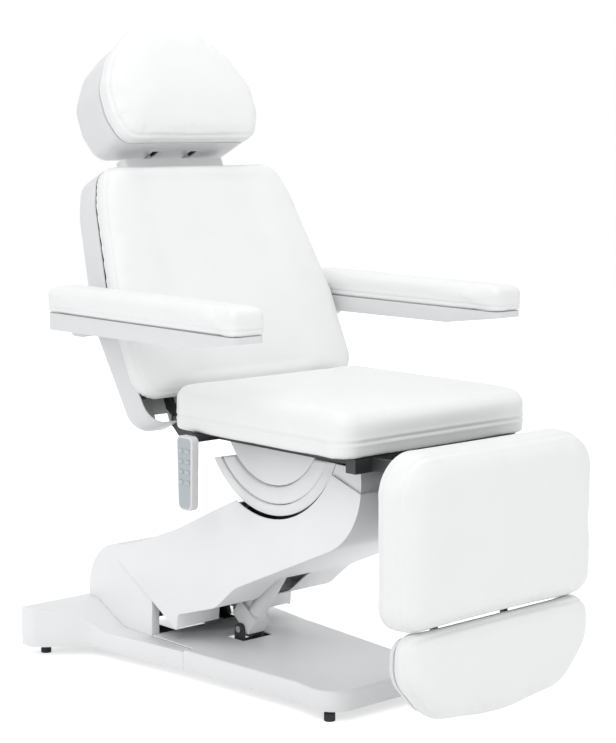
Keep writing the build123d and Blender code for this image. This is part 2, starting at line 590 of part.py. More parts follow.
def build_seat_cushion():
    """Seat cushion with rounded corners, recessed over its board."""
    face = outline([(-SEAT_HALF, SEAT_FRONT_Y), (SEAT_HALF, SEAT_FRONT_Y), (SEAT_HALF, SEAT_REAR_Y),
                    (-SEAT_HALF, SEAT_REAR_Y)], [50, 50, 40, 40])
    half, y0, y1 = SEAT_HALF - BOARD_IN + 1, SEAT_FRONT_Y + BOARD_IN - 1, SEAT_REAR_Y - BOARD_IN + 1
    recess = outline([(-half, y0), (half, y0), (half, y1), (-half, y1)], [40, 40, 30, 30])
    cushion = upward(face, SEAT_BOTTOM, SEAT_TOP)
    return cushion - upward(recess, SEAT_BOTTOM - 5, RAIL_Z1 + BOARD_T + SOFT_GAP)


def build_tilt_actuator():
    """Motor and tube of the seat tilt, on the carrier."""
    return aim(TILT_A, TILT_B, actuator_body(TILT_PIN_R, 13, 7, 215, TILT_EYE_HALF))


def build_tilt_rod():
    """Rod of the seat tilt."""
    length = hypot(TILT_B[0] - TILT_A[0], TILT_B[1] - TILT_A[1])
    return aim(TILT_A, TILT_B, actuator_rod(7, 112, length, TILT_PIN_R + TILT_EYE_PLAY, 10))


def drive_body(x, z, y_motor, y_tube, toward):
    """A fixed drive along Y: motor block hung under the seat frame and its tube."""
    y0, y1 = sorted((y_motor, y_motor + toward * 60))
    body = block(x - DRIVE_R - 3, x + DRIVE_R + 3, y0, y1, z - DRIVE_R - 3, RAIL_Z0)
    ys = sorted((y_motor + toward * 60, y_tube))
    body += Pos(x, sum(ys) / 2, z) * Rot(90, 0, 0) * Cylinder(DRIVE_R, ys[1] - ys[0])
    ys = sorted((y_motor + toward * 50, y_tube + toward * 20))
    return body - Pos(x, sum(ys) / 2, z) * Rot(90, 0, 0) * Cylinder(DRIVE_ROD_R + RUN, ys[1] - ys[0])


def drive_rod(x, z, y_start, y_pin, toward, reach):
    """Rod along Y with the cross pin that runs in the lever's slot."""
    ys = sorted((y_start, y_pin + toward * 8))
    rod = Pos(x, sum(ys) / 2, z) * Rot(90, 0, 0) * Cylinder(DRIVE_ROD_R, ys[1] - ys[0])
    return rod + pin(y_pin, z, DRIVE_PIN_R, x, reach)


def build_back_actuator():
    """Drive of the backrest, fixed under the seat frame."""
    return drive_body(BACK_ROD_X, BACK_ROD_Z, BACK_MOTOR_Y, 20, 1)


def build_back_rod():
    """Rod of the back drive."""
    return drive_rod(BACK_ROD_X, BACK_ROD_Z, -60, BACK_ROD_PIN_Y, 1, BACK_LEVER_X1 + 3)


def build_leg_actuator():
    """Drive of the leg rest, fixed under the seat frame."""
    return drive_body(LEG_ROD_X, LEG_ROD_Z, -262, -478, -1)


def build_leg_rod():
    """Rod of the leg drive."""
    return drive_rod(LEG_ROD_X, LEG_ROD_Z, -345, LEG_ROD_PIN_Y, -1, LEG_LEVER_X1 + 3)


# ---------------------------------------------------------------- backrest, in its own upright frame

def leaned(shape):
    """Place a backrest piece: hinge at the seat, leaned to the rear."""
    return Pos(0, BACK_Y, BACK_Z) * Rot(-BACK_LEAN, 0, 0) * shape


def back_outline(grow=0.0, low=BACK_LOW, low_half=BACK_LOW_HALF):
    """Front view of the backrest: wide and round below, narrower at the shoulders."""
    half = [(low_half, low, 60), (BACK_MID_HALF, BACK_MID_Z, 300),
            (BACK_SHOULDER_HALF, BACK_SHOULDER_Z, 250), (BACK_HIGH_HALF, BACK_HIGH, 60)]
    points = [(x, z) for x, z, r in half] + [(-x, z) for x, z, r in reversed(half)]
    face = outline(points, [r for x, z, r in half] + [r for x, z, r in reversed(half)])
    return offset(face, amount=grow) if grow else face


def back_core(inset):
    """Front view of what lies inside the rear shell."""
    return back_outline(-inset) & back_outline(-inset, BACK_SHELL_LOW, BACK_SHELL_HALF)


def build_back_cushion():
    """Backrest cushion, with a smaller rear part inside the shell's rim."""
    cushion = rearward(back_outline(), BACK_FRONT, BACK_RIM - 1)
    return leaned(cushion + rearward(back_core(BACK_PLUG_IN), BACK_RIM - 1, BACK_CUSHION_BACK))


def build_back_board():
    """Plywood board behind the backrest cushion."""
    return leaned(rearward(back_core(BOARD_IN), BACK_CUSHION_BACK, BACK_CUSHION_BACK + 10))


def build_back_shell():
    """Hollow rear shell, open to the front and notched below for the hinges and the drive lever."""
    outer = rearward(back_outline(-4, BACK_SHELL_LOW, BACK_SHELL_HALF), BACK_RIM, BACK_SHELL_BACK)
    outer = fillet(outer.edges().filter_by(Plane.XZ).group_by(Axis.Y)[-1], 26)
    inner = rearward(back_outline(-4 - WALL, BACK_SHELL_LOW, BACK_SHELL_HALF), BACK_RIM - 5,
                     BACK_SHELL_BACK - WALL)
    inner = fillet(inner.edges().filter_by(Plane.XZ).group_by(Axis.Y)[-1], 22)
    shell = outer - inner
    shell -= block(-72, 72, -100, 200, BACK_SHELL_LOW - 20, 66)
    shell -= mirrored(block(BACK_HINGE_X0 - 8, BACK_LUG_X1 + 6, -100, 200, BACK_SHELL_LOW - 20, 34))
    shell -= mirrored(post(POST_X, POST_D, POST_R + 2, 500, 700))
    shell -= pin(ARM_PIVOT_D, ARM_PIVOT_W, ARM_PIN_R + 5, -400, 400)
    return leaned(shell)


def build_back_frame():
    """Side arms with the hinge eyes, cross tubes, headrest guides, armrest stubs and the slotted lever."""
    d0 = BACK_CUSHION_BACK + 10
    d1 = d0 + BACK_FRAME_D
    mid = (d0 + d1) / 2
    frame = mirrored(block(BACK_HINGE_X0, BACK_HINGE_X1, d0, d1, BACK_LOW, BACK_HIGH - 37))
    frame += mirrored(link((0, 0), (mid + 1, BACK_LOW + 6), 30, BACK_HINGE_X0, BACK_HINGE_X1)
                      & block(-400, 400, -30, d1, -40, 130))
    for z in (110, 470, 580):
        frame += block(-BACK_HINGE_X0, BACK_HINGE_X0, d0, d1, z, z + 24)
    frame += mirrored(pin(ARM_PIVOT_D, ARM_PIVOT_W, ARM_PIN_R + 4, BACK_HINGE_X1, ARM_X0 - 8))
    frame += mirrored(pin(ARM_PIVOT_D, ARM_PIVOT_W, ARM_PIN_R + 12, ARM_X0 - 8, ARM_X0 - 1))
    turn = radians(-(90 - BACK_LEVER_REST - BACK_LEAN))
    tip = 80 + DRIVE_PIN_R
    lever = link((0, 0), (tip * cos(turn), tip * sin(turn)), 34, BACK_LEVER_X0, BACK_LEVER_X1)
    lever += link((0, 0), (mid, BACK_LOW + 8), 26, BACK_LEVER_X0, BACK_LEVER_X1) & block(-100, 100, -40, d1, -40, 132)
    lever += block(BACK_LEVER_X0, BACK_LEVER_X1, d0, d1, BACK_LOW, 132)
    a, b = BACK_LEVER_H - 1, BACK_LEVER_H / cos(radians(BACK_LEVER_REST + BACK_UPRIGHT)) + 2
    lever -= link((a * cos(turn), a * sin(turn)), (b * cos(turn), b * sin(turn)),
                  2 * DRIVE_PIN_R + 6, BACK_LEVER_X0 - 1, BACK_LEVER_X1 + 1)
    frame += lever
    frame -= block(-300, 300, -100, d0, BACK_LOW - 2, BACK_HIGH)
    frame -= mirrored(post(POST_X, POST_D, POST_R + RUN, 400, 700))
    frame -= pin(0, 0, BACK_PIN_R + RUN, -300, -150) + pin(0, 0, BACK_PIN_R + RUN, 150, 300)
    frame -= mirrored(pin(ARM_PIVOT_D, ARM_PIVOT_W, ARM_PIN_R + SEAT_FIT, ARM_X0 - 34, ARM_X0 + 10))
    return leaned(frame)


# ---------------------------------------------------------------- headrest, in the backrest's frame

def head_outline(grow=0.0):
    """Front view of the headrest: flat below, round above."""
    half = [(204, HEAD_LOW, 50), (HEAD_HALF, HEAD_LOW + 70, 60), (HEAD_HALF, HEAD_LOW + 145, 90),
            (183, HEAD_HIGH - 90, 90), (108, HEAD_HIGH - 26, 120)]
    points = [(x, z) for x, z, r in half] + [(0, HEAD_HIGH + 14)] + [(-x, z) for x, z, r in reversed(half)]
    radii = [r for x, z, r in half] + [250] + [r for x, z, r in reversed(half)]
    face = outline(points, radii)
    return offset(face, amount=grow) if grow else face


def build_headrest_pad():
    """Headrest cushion."""
    return leaned(rearward(head_outline(), HEAD_FRONT, HEAD_PAD_BACK))


def build_headrest_shell():
    """Hollow rear shell of the headrest, with the two hinge plates and a slot for the posts."""
    outer = rearward(head_outline(-5), HEAD_PAD_BACK, HEAD_SHELL_BACK)
    outer = fillet(outer.edges().filter_by(Plane.XZ).group_by(Axis.Y)[-1], 30)
    inner = rearward(head_outline(-5 - WALL), HEAD_PAD_BACK + WALL, HEAD_SHELL_BACK - WALL)
    inner = fillet(inner.edges().filter_by(Plane.XZ).group_by(Axis.Y)[-1], 26)
    shell = outer - inner
    shell += mirrored(block(POST_X + 20, POST_X + 28, HEAD_PAD_BACK + 1, HEAD_SHELL_BACK - 1,
                            HEAD_PIN_Z - 15, HEAD_PIN_Z + 15))
    shell -= mirrored(block(POST_X - POST_R - 4, POST_X + POST_R + 4, POST_D - 36, POST_D + 32,
                            HEAD_LOW - 20, HEAD_LOW + 20))
    return leaned(shell - pin(POST_D, HEAD_PIN_Z, HEAD_PIN_R + RUN, -200, 200))


def build_headrest_slide():
    """The two posts, the bridge that joins them above the back and the block for the hinge pin."""
    slide = mirrored(post(POST_X, POST_D, POST_R, POST_LOW, HEAD_PIN_Z + 10))
    slide += block(-POST_X - 12, POST_X + 12, POST_D - 11, POST_D + 11, HEAD_PIN_Z - 12, HEAD_PIN_Z + 12)
    bridge = outline([(-BRIDGE_HALF, POST_D - 24), (BRIDGE_HALF, POST_D - 24), (BRIDGE_HALF, POST_D + 14),
                      (-BRIDGE_HALF, POST_D + 14)], [14, 14, 14, 14])
    slide += upward(bridge, BACK_HIGH + 5, HEAD_LOW - 8)
    return leaned(slide - pin(POST_D, HEAD_PIN_Z, HEAD_PIN_R + SEAT_FIT, -200, 200))


def build_headrest_pin():
    """Hinge pin of the headrest."""
    return leaned(pin(POST_D, HEAD_PIN_Z, HEAD_PIN_R, -POST_X - 30, POST_X + 30))


# ---------------------------------------------------------------- armrests

LEAN_SIN, LEAN_COS, ARM_FALL = sin(radians(BACK_LEAN)), cos(radians(BACK_LEAN)), tan(radians(ARM_RISE))
ARM_PIVOT_W = (ARM_PAD_Z - ARM_PIVOT_DROP - BACK_Z + ARM_PIVOT_D * LEAN_SIN
               - (BACK_Y + ARM_PIVOT_D * LEAN_COS - ARM_FRONT_Y) * ARM_FALL) / (LEAN_COS + LEAN_SIN * ARM_FALL)
ARM_PIVOT_Y = BACK_Y + ARM_PIVOT_D * LEAN_COS + ARM_PIVOT_W * LEAN_SIN
ARM_PIVOT_Z = BACK_Z - ARM_PIVOT_D * LEAN_SIN + ARM_PIVOT_W * LEAN_COS


def arm_plan(inset=0.0):
    """Plan of one armrest, with broad rounded ends."""
    x0, x1 = ARM_X0 + inset, ARM_X1 - inset
    y0, y1 = ARM_FRONT_Y + inset, ARM_REAR_Y - inset
    return outline([(x0, y0), (x1, y0), (x1, y1), (x0, y1)], [22, 22, 26, 26])


def on_slope(shape):
    """Tip an armrest about its front end so that the front is the higher end."""
    return Pos(0, ARM_FRONT_Y, ARM_PAD_Z) * Rot(-ARM_RISE, 0, 0) * Pos(0, -ARM_FRONT_Y, -ARM_PAD_Z) * shape


def build_armrest_tray(side):
    """Moulded tray of one armrest, deeper to the rear, with the boss for its pivot."""
    low = ARM_PAD_Z - ARM_TRAY_REAR_T
    profile = outline([(ARM_FRONT_Y, ARM_PAD_Z), (ARM_FRONT_Y, ARM_PAD_Z - ARM_TRAY_FRONT_T),
                       (ARM_FRONT_Y + 170, low + 4), (ARM_REAR_Y, low), (ARM_REAR_Y, ARM_PAD_Z)], [1, 5, 150, 12, 1])
    tray = on_slope(upward(arm_plan(3), low - 10, ARM_PAD_Z) & across(profile, ARM_X0, ARM_X1))
    top, foot = ARM_PIVOT_Z + ARM_PIVOT_DROP - 10, ARM_PIVOT_Z - 19
    boss = outline([(ARM_PIVOT_Y - 46, top), (ARM_PIVOT_Y - 26, foot), (ARM_PIVOT_Y + 26, foot),
                    (ARM_PIVOT_Y + 40, top)], [2, 18, 18, 2])
    tray += across(boss, ARM_X0 + 4, ARM_X0 + 52)
    tray -= pin(ARM_PIVOT_Y, ARM_PIVOT_Z, ARM_PIN_R + RUN, ARM_X0 - 5, ARM_X0 + 44)
    return tray if side > 0 else mirror(tray, about=Plane.YZ)


def build_armrest_pad(side):
    """Cushion of one armrest."""
    pad = upward(arm_plan(), ARM_PAD_Z + SOFT_GAP, ARM_PAD_Z + ARM_PAD_T)
    pad = on_slope(fillet(pad.edges().group_by(Axis.Z)[-1], 14))
    return pad if side > 0 else mirror(pad, about=Plane.YZ)


def build_armrest_pins():
    """The two pivot pins, held in the backrest frame's stubs."""
    return leaned(mirrored(pin(ARM_PIVOT_D, ARM_PIVOT_W, ARM_PIN_R, ARM_X0 - 34, ARM_X0 + 42)))


# ---------------------------------------------------------------- leg rest and foot rest

def leg_outline(grow=0.0):
    """Front view of the leg rest cushion."""
    points = [(-LEG_HALF, LEG_LOW), (LEG_HALF, LEG_LOW), (LEG_HALF, LEG_HIGH), (-LEG_HALF, LEG_HIGH)]
    face = outline(points, [60, 60, 90, 90])
    return offset(face, amount=grow) if grow else face


def foot_outline(grow=0.0):
    """Front view of the foot rest cushion: square above, a wide round bow below."""
    half = [(FOOT_HALF - 7, FOOT_HIGH, 45), (FOOT_HALF - 3, 190, 90), (206, FOOT_LOW + 22, 120)]
    points = [(x, z) for x, z, r in half] + [(0, FOOT_LOW - 4)] + [(-x, z) for x, z, r in reversed(half)]
    radii = [r for x, z, r in half] + [500] + [r for x, z, r in reversed(half)]
    face = outline(points, radii)
    return offset(face, amount=grow) if grow else face


def build_legrest_pad():
    """Leg rest cushion, recessed over its board."""
    pad = rearward(leg_outline(), LEG_FRONT_Y, LEG_TUBE_FRONT)
    return pad - rearward(leg_outline(1 - BOARD_IN), LEG_FRONT_Y + LEG_PAD_T, LEG_TUBE_FRONT + 5)


def build_legrest_board():
    """Plywood board of the leg rest."""
    return rearward(leg_outline(-BOARD_IN), LEG_FRONT_Y + LEG_PAD_T + SOFT_GAP, LEG_TUBE_FRONT)


def build_legrest_frame():
    """Side bars with hinge eyes, cross bars, guide tubes and the slotted lever."""
    y0, y1 = LEG_TUBE_FRONT, LEG_TUBE_REAR
    mid = (y0 + y1) / 2
    frame = mirrored(block(LEG_ARM_X0, LEG_ARM_X1, y0, y1, 330, LEG_HINGE_Z + 8))
    frame += mirrored(pin(LEG_HINGE_Y, LEG_HINGE_Z, 15, LEG_ARM_X0, LEG_ARM_X1))
    for z in (330, 560):
        frame += block(-LEG_ARM_X0, LEG_ARM_X0, y0, y1, z, z + 24)
    frame += mirrored(post(LEG_GUIDE_X, mid, (y1 - y0) / 2, 330, 584))
    frame += block(LEG_ARM_X0, LEG_LEVER_X1, y0, y1, 562, 580)
    turn = radians(-45)
    grip = LEG_LEVER_H / cos(radians(45)) + 2
    frame += link((LEG_HINGE_Y, LEG_HINGE_Z), (LEG_HINGE_Y + grip * cos(turn), LEG_HINGE_Z + grip * sin(turn)),
                  32, LEG_LEVER_X0, LEG_LEVER_X1)
    near = LEG_LEVER_H - 1
    frame -= link((LEG_HINGE_Y + near * cos(turn), LEG_HINGE_Z + near * sin(turn)),
                  (LEG_HINGE_Y + grip * cos(turn), LEG_HINGE_Z + grip * sin(turn)),
                  2 * DRIVE_PIN_R + 10, LEG_LEVER_X0 - 1, LEG_LEVER_X1 + 1)
    frame += link((LEG_HINGE_Y, LEG_HINGE_Z), (mid, 575), 22, LEG_LEVER_X0, LEG_LEVER_X1)
    frame -= mirrored(pin(LEG_HINGE_Y, LEG_HINGE_Z, LEG_PIN_R + RUN, LEG_ARM_X0 - 5, LEG_ARM_X1 + 5))
    return frame - mirrored(post(LEG_GUIDE_X, mid, FOOT_BAR_R + RUN, 300, 600))


def build_footrest_pad():
    """Foot rest cushion."""
    return rearward(foot_outline(), FOOT_FRONT_Y, FOOT_FRONT_Y + FOOT_PAD_T)


def build_footrest_board():
    """Plywood board of the foot rest."""
    face = foot_outline(-BOARD_IN / 2)
    return rearward(face, FOOT_FRONT_Y + FOOT_PAD_T + SOFT_GAP, FOOT_FRONT_Y + FOOT_PAD_T + 10)


def build_footrest_slide():
    """Two bars in the leg rest's guides, standing off a plate behind the foot board."""
    mid = (LEG_TUBE_FRONT + LEG_TUBE_REAR) / 2
    plate = FOOT_FRONT_Y + FOOT_PAD_T + 10
    slide = mirrored(post(LEG_GUIDE_X, mid, FOOT_BAR_R, 130, 500))
    slide += mirrored(block(LEG_GUIDE_X - 12, LEG_GUIDE_X + 12, plate + 3, mid - 3, 130, 240))
    return slide + block(-170, 170, plate, plate + 5, 130, 240)


# ---------------------------------------------------------------- hand control

HAND_Z0 = HAND_TOP_Z - HAND_L
HOOK_Z = HAND_TOP_Z - 38
KEY_PLACES = [(s * 12, HAND_TOP_Z - 34 - row * 24) for row in range(4) for s in (-1, 1)]


def hand_side(shape):
    """Turn a shape drawn with its face toward -Y so that the face looks toward -X at the handset's place."""
    return Pos(-HAND_X, HAND_Y, 0) * Rot(0, 0, -90) * shape


def hand_outline(grow=0.0):
    """Front view of the handset, tapering slightly downward."""
    top, low = HAND_W / 2, HAND_W / 2 - 4
    face = outline([(-top, HAND_TOP_Z), (top, HAND_TOP_Z), (low, HAND_Z0), (-low, HAND_Z0)], [14, 14, 18, 18])
    return offset(face, amount=grow) if grow else face


def build_handset_case():
    """Handset body with a pocket for each key and a hook groove in its back."""
    case = rearward(hand_outline(), -HAND_T, 0)
    case = fillet(case.edges().filter_by(Plane.XZ).group_by(Axis.Y)[0], 3)
    case -= rearward(hand_outline(-5), -HAND_T - 1, -HAND_T + HAND_FACE_T + RUN)
    for x, z in KEY_PLACES:
        case -= block(x - KEY_W / 2 - 0.3, x + KEY_W / 2 + 0.3, -HAND_T, -HAND_T + 6,
                      z - KEY_H / 2 - 0.3, z + KEY_H / 2 + 0.3)
    case -= block(-4, 4, -3, 1, HAND_Z0 - 1, HOOK_Z)
    return hand_side(case - block(-10, 10, -7, -2, HAND_Z0 - 1, HOOK_Z))


def build_handset_overlay():
    """Face sheet of the handset with the key openings."""
    sheet = rearward(hand_outline(-5 - RUN), -HAND_T, -HAND_T + HAND_FACE_T)
    for x, z in KEY_PLACES:
        sheet -= block(x - KEY_W / 2 - 0.3, x + KEY_W / 2 + 0.3, -HAND_T - 1, -HAND_T + 3,
                       z - KEY_H / 2 - 0.3, z + KEY_H / 2 + 0.3)
    return hand_side(sheet)


def build_handset_key(x, z):
    """One key, which stands out of the face sheet and sinks by its travel."""
    key = block(x - KEY_W / 2, x + KEY_W / 2, -HAND_T - KEY_OUT, -HAND_T + 4.8, z - KEY_H / 2, z + KEY_H / 2)
    return hand_side(fillet(key.edges().filter_by(Axis.Y), 2))


def build_handset_hook():
    """Bracket under the seat board with the T-shaped tab that the handset hangs on."""
    plate = block(-HAND_X + 0.5, -RAIL_X1, HAND_Y - 15, HAND_Y + 15, RAIL_Z1 - 8, RAIL_Z1)
    plate += block(-HAND_X + 0.5, -HAND_X + 4, HAND_Y - 15, HAND_Y + 15, HOOK_Z - 30, RAIL_Z1)
    plate += hand_side(block(-3.6, 3.6, -4, 0.6, HOOK_Z - 30, HOOK_Z - 0.1))
    return plate + hand_side(block(-9.6, 9.6, -6.6, -2.4, HOOK_Z - 30, HOOK_Z - 0.1))


# ---------------------------------------------------------------- write every sub-part

os.makedirs("parts", exist_ok=True)

save("base_frame", build_base_frame())
save("leveling_feet", build_feet())
save("leveling_studs", build_studs())
save("base_front_cover", build_front_cover())
save("base_rear_cover", build_rear_cover())
save("pivot_housing", build_housing())
save("base_pivot_pins", build_base_pins())

save("lift_arm_frame", build_arm_frame())
save("lift_arm_cover", build_arm_cover())
save("tie_bars", build_tie_bars())
save("lift_actuator", build_lift_actuator())
save("lift_rod", build_lift_rod())

save("seat_carrier", build_carrier())
save("carrier_pins", build_carrier_pins())
save("guide_bushes", build_guides())
save("round_cover_outer", build_back_covers())
save("round_cover_middle", build_middle_covers())
save("arm_head_cover", build_head_cover())
save("tilt_actuator", build_tilt_actuator())
save("tilt_rod", build_tilt_rod())

save("seat_frame", build_seat_frame())
save("seat_board", build_seat_board())
save("seat_cushion", build_seat_cushion())
save("round_cover_inner", build_inner_covers())
save("hinge_pins", build_seat_pins())
save("back_actuator", build_back_actuator())
save("back_rod", build_back_rod())
save("leg_actuator", build_leg_actuator())
save("leg_rod", build_leg_rod())

save("back_frame", build_back_frame())
save("back_board", build_back_board())
save("back_cushion", build_back_cushion())
save("back_shell", build_back_shell())
save("armrest_pins", build_armrest_pins())
for side, word in ((-1, "right"), (1, "left")):
    save(f"armrest_tray_{word}", build_armrest_tray(side))
    save(f"armrest_pad_{word}", build_armrest_pad(side))

save("headrest_slide", build_headrest_slide())
save("headrest_pin", build_headrest_pin())
save("headrest_shell", build_headrest_shell())
save("headrest_pad", build_headrest_pad())

save("legrest_frame", build_legrest_frame())
save("legrest_board", build_legrest_board())
save("legrest_pad", build_legrest_pad())
save("footrest_slide", build_footrest_slide())
save("footrest_board", build_footrest_board())
save("footrest_pad", build_footrest_pad())

save("handset_hook", build_handset_hook())
save("handset_case", build_handset_case())
save("handset_overlay", build_handset_overlay())
for number, (x, z) in enumerate(KEY_PLACES, start=1):
    save(f"handset_key_{number}", build_handset_key(x, z))
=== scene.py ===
"""The look of the podiatry chair: stage, finishes, upholstery and moulded covers, in metres."""
import json
from math import cos, pi, radians, sin, tan

import bmesh
import bpy
import numpy as np
from mathutils import Matrix, Vector


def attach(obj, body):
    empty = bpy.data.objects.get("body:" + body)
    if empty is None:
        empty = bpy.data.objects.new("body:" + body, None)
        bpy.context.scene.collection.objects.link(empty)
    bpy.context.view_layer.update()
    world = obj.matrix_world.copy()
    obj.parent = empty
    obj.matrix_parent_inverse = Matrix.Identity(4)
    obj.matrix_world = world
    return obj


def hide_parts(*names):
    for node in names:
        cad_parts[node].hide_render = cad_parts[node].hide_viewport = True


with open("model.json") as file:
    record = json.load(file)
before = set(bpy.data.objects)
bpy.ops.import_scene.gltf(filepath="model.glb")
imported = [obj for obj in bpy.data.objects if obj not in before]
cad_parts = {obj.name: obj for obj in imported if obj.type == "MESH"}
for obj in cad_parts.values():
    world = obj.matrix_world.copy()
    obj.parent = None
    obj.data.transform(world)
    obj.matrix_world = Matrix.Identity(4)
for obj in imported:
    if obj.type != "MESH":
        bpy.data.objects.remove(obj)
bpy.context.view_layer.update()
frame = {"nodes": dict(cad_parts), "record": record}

SHIFT_Y = 0.028              # the frame's y less the CAD's y
BACK_LEAN = radians(24.5)    # of the backrest, from upright
BACK_HINGE = (0, 0.150 + SHIFT_Y, 0.640)
BACK_PLACE = Matrix.Translation(BACK_HINGE) @ Matrix.Rotation(-BACK_LEAN, 4, "X")


def link_object(name, data):
    obj = bpy.data.objects.new(name, data)
    bpy.context.collection.objects.link(obj)
    return obj


# ---------------------------------------------------------------- camera, light, backdrop

SENSOR = 36.0                # mm
LENS = 90.74                 # mm
CAMERA_PLACE = (-2.896, -3.337 + SHIFT_Y, 1.328)
CAMERA_TURN = (radians(90 - 7.47), radians(0.1), radians(-41.58))
WORLD_COLOUR = (0.97, 0.985, 1.0, 1)
WORLD_STRENGTH = 0.73        # of the light on the chair; the background itself is white
LAMPS = (                    # name, place, target, diameter, power
    ("key", (-2.6, -2.2, 3.0), (0, 0, 0.6), 2.4, 38),
    ("top", (0.3, 0.2, 3.6), (0, 0, 0.7), 3.0, 24),
    ("side", (-3.4, 1.2, 1.4), (0, 0, 0.6), 2.0, 10),
    ("fill", (1.6, -3.6, 0.9), (0, 0, 0.5), 2.4, 9),
)
FLOOR_REACH = 9
FLOOR_COLOUR = (0.93, 0.93, 0.93, 1)
FLOOR_GLOW = 0.64            # brings the lit floor to white where the background is seen


def aim_lamp(name, place, target, size, power):
    data = bpy.data.lights.new(name, "AREA")
    data.shape = "DISK"
    data.size = size
    data.energy = power
    lamp = link_object(name, data)
    lamp.location = place
    lamp.rotation_euler = (Vector(target) - Vector(place)).to_track_quat("-Z", "Y").to_euler()


def background_rays(tree):
    """One for the rays that see the background: from the camera, off gloss and through glass."""
    path = tree.nodes.new("ShaderNodeLightPath")
    seen = path.outputs["Is Camera Ray"]
    for kind in ("Is Glossy Ray", "Is Transmission Ray"):
        either = tree.nodes.new("ShaderNodeMath")
        either.operation = "MAXIMUM"
        tree.links.new(seen, either.inputs[0])
        tree.links.new(path.outputs[kind], either.inputs[1])
        seen = either.outputs[0]
    return seen


def build_camera(scene):
    data = bpy.data.cameras.new("camera")
    data.sensor_width = SENSOR
    data.lens = LENS
    camera = link_object("camera", data)
    camera.location = CAMERA_PLACE
    camera.rotation_euler = CAMERA_TURN
    scene.camera = camera


def build_world(scene):
    """Soft light on the chair, and plain white for the rays that see the background."""
    world = bpy.data.worlds.new("studio")
    scene.world = world
    world.use_nodes = True
    nodes, links = world.node_tree.nodes, world.node_tree.links
    nodes.clear()
    soft = nodes.new("ShaderNodeBackground")
    soft.inputs["Color"].default_value = WORLD_COLOUR
    soft.inputs["Strength"].default_value = WORLD_STRENGTH
    white = nodes.new("ShaderNodeBackground")
    white.inputs["Color"].default_value = (1, 1, 1, 1)
    white.inputs["Strength"].default_value = 1.0
    mix = nodes.new("ShaderNodeMixShader")
    out = nodes.new("ShaderNodeOutputWorld")
    links.new(background_rays(world.node_tree), mix.inputs[0])
    links.new(soft.outputs[0], mix.inputs[1])
    links.new(white.outputs[0], mix.inputs[2])
    links.new(mix.outputs[0], out.inputs[0])


def build_floor():
    """A pale floor that keeps the chair's shadow and otherwise shows as white."""
    r = FLOOR_REACH
    mesh = bpy.data.meshes.new("floor")
    mesh.from_pydata([(-r, -r, 0), (r, -r, 0), (r, r, 0), (-r, r, 0)], [], [(0, 1, 2, 3)])
    floor = link_object("floor", mesh)
    paint = bpy.data.materials.new("floor_white")
    paint.use_nodes = True
    tree = paint.node_tree
    shader = tree.nodes["Principled BSDF"]
    shader.inputs["Base Color"].default_value = FLOOR_COLOUR
    shader.inputs["Roughness"].default_value = 0.8
    shader.inputs["Specular IOR Level"].default_value = 0.1
    glow = tree.nodes.new("ShaderNodeEmission")
    glow.inputs["Strength"].default_value = FLOOR_GLOW
    dark = tree.nodes.new("ShaderNodeEmission")
    dark.inputs["Strength"].default_value = 0.0
    seen = tree.nodes.new("ShaderNodeMixShader")
    tree.links.new(background_rays(tree), seen.inputs[0])
    tree.links.new(dark.outputs[0], seen.inputs[1])
    tree.links.new(glow.outputs[0], seen.inputs[2])
    add = tree.nodes.new("ShaderNodeAddShader")
    tree.links.new(shader.outputs[0], add.inputs[0])
    tree.links.new(seen.outputs[0], add.inputs[1])
    tree.links.new(add.outputs[0], tree.nodes["Material Output"].inputs["Surface"])
    mesh.materials.append(paint)


bpy.context.scene.view_settings.view_transform = "Standard"
build_camera(bpy.context.scene)
build_world(bpy.context.scene)
for lamp in LAMPS:
    aim_lamp(*lamp)
build_floor()


# ---------------------------------------------------------------- materials

COAT_ROUGHNESS = 0.25
BROAD_SCALE = 9.0            # of the slow change in tone and gloss
BROAD_DETAIL = 5.0
BROAD_RANGE = (0.3, 0.7)     # what the broad noise mostly returns
EDGE_RANGE = (0.52, 0.62)    # pointiness where the wear starts and where it is full
EDGE_WEAR = 0.10
PLY_CONTRAST = 0.35
GLOSS_SPREAD = 0.05


def paler(value):
    return min(1, value * 1.5 + 0.05)


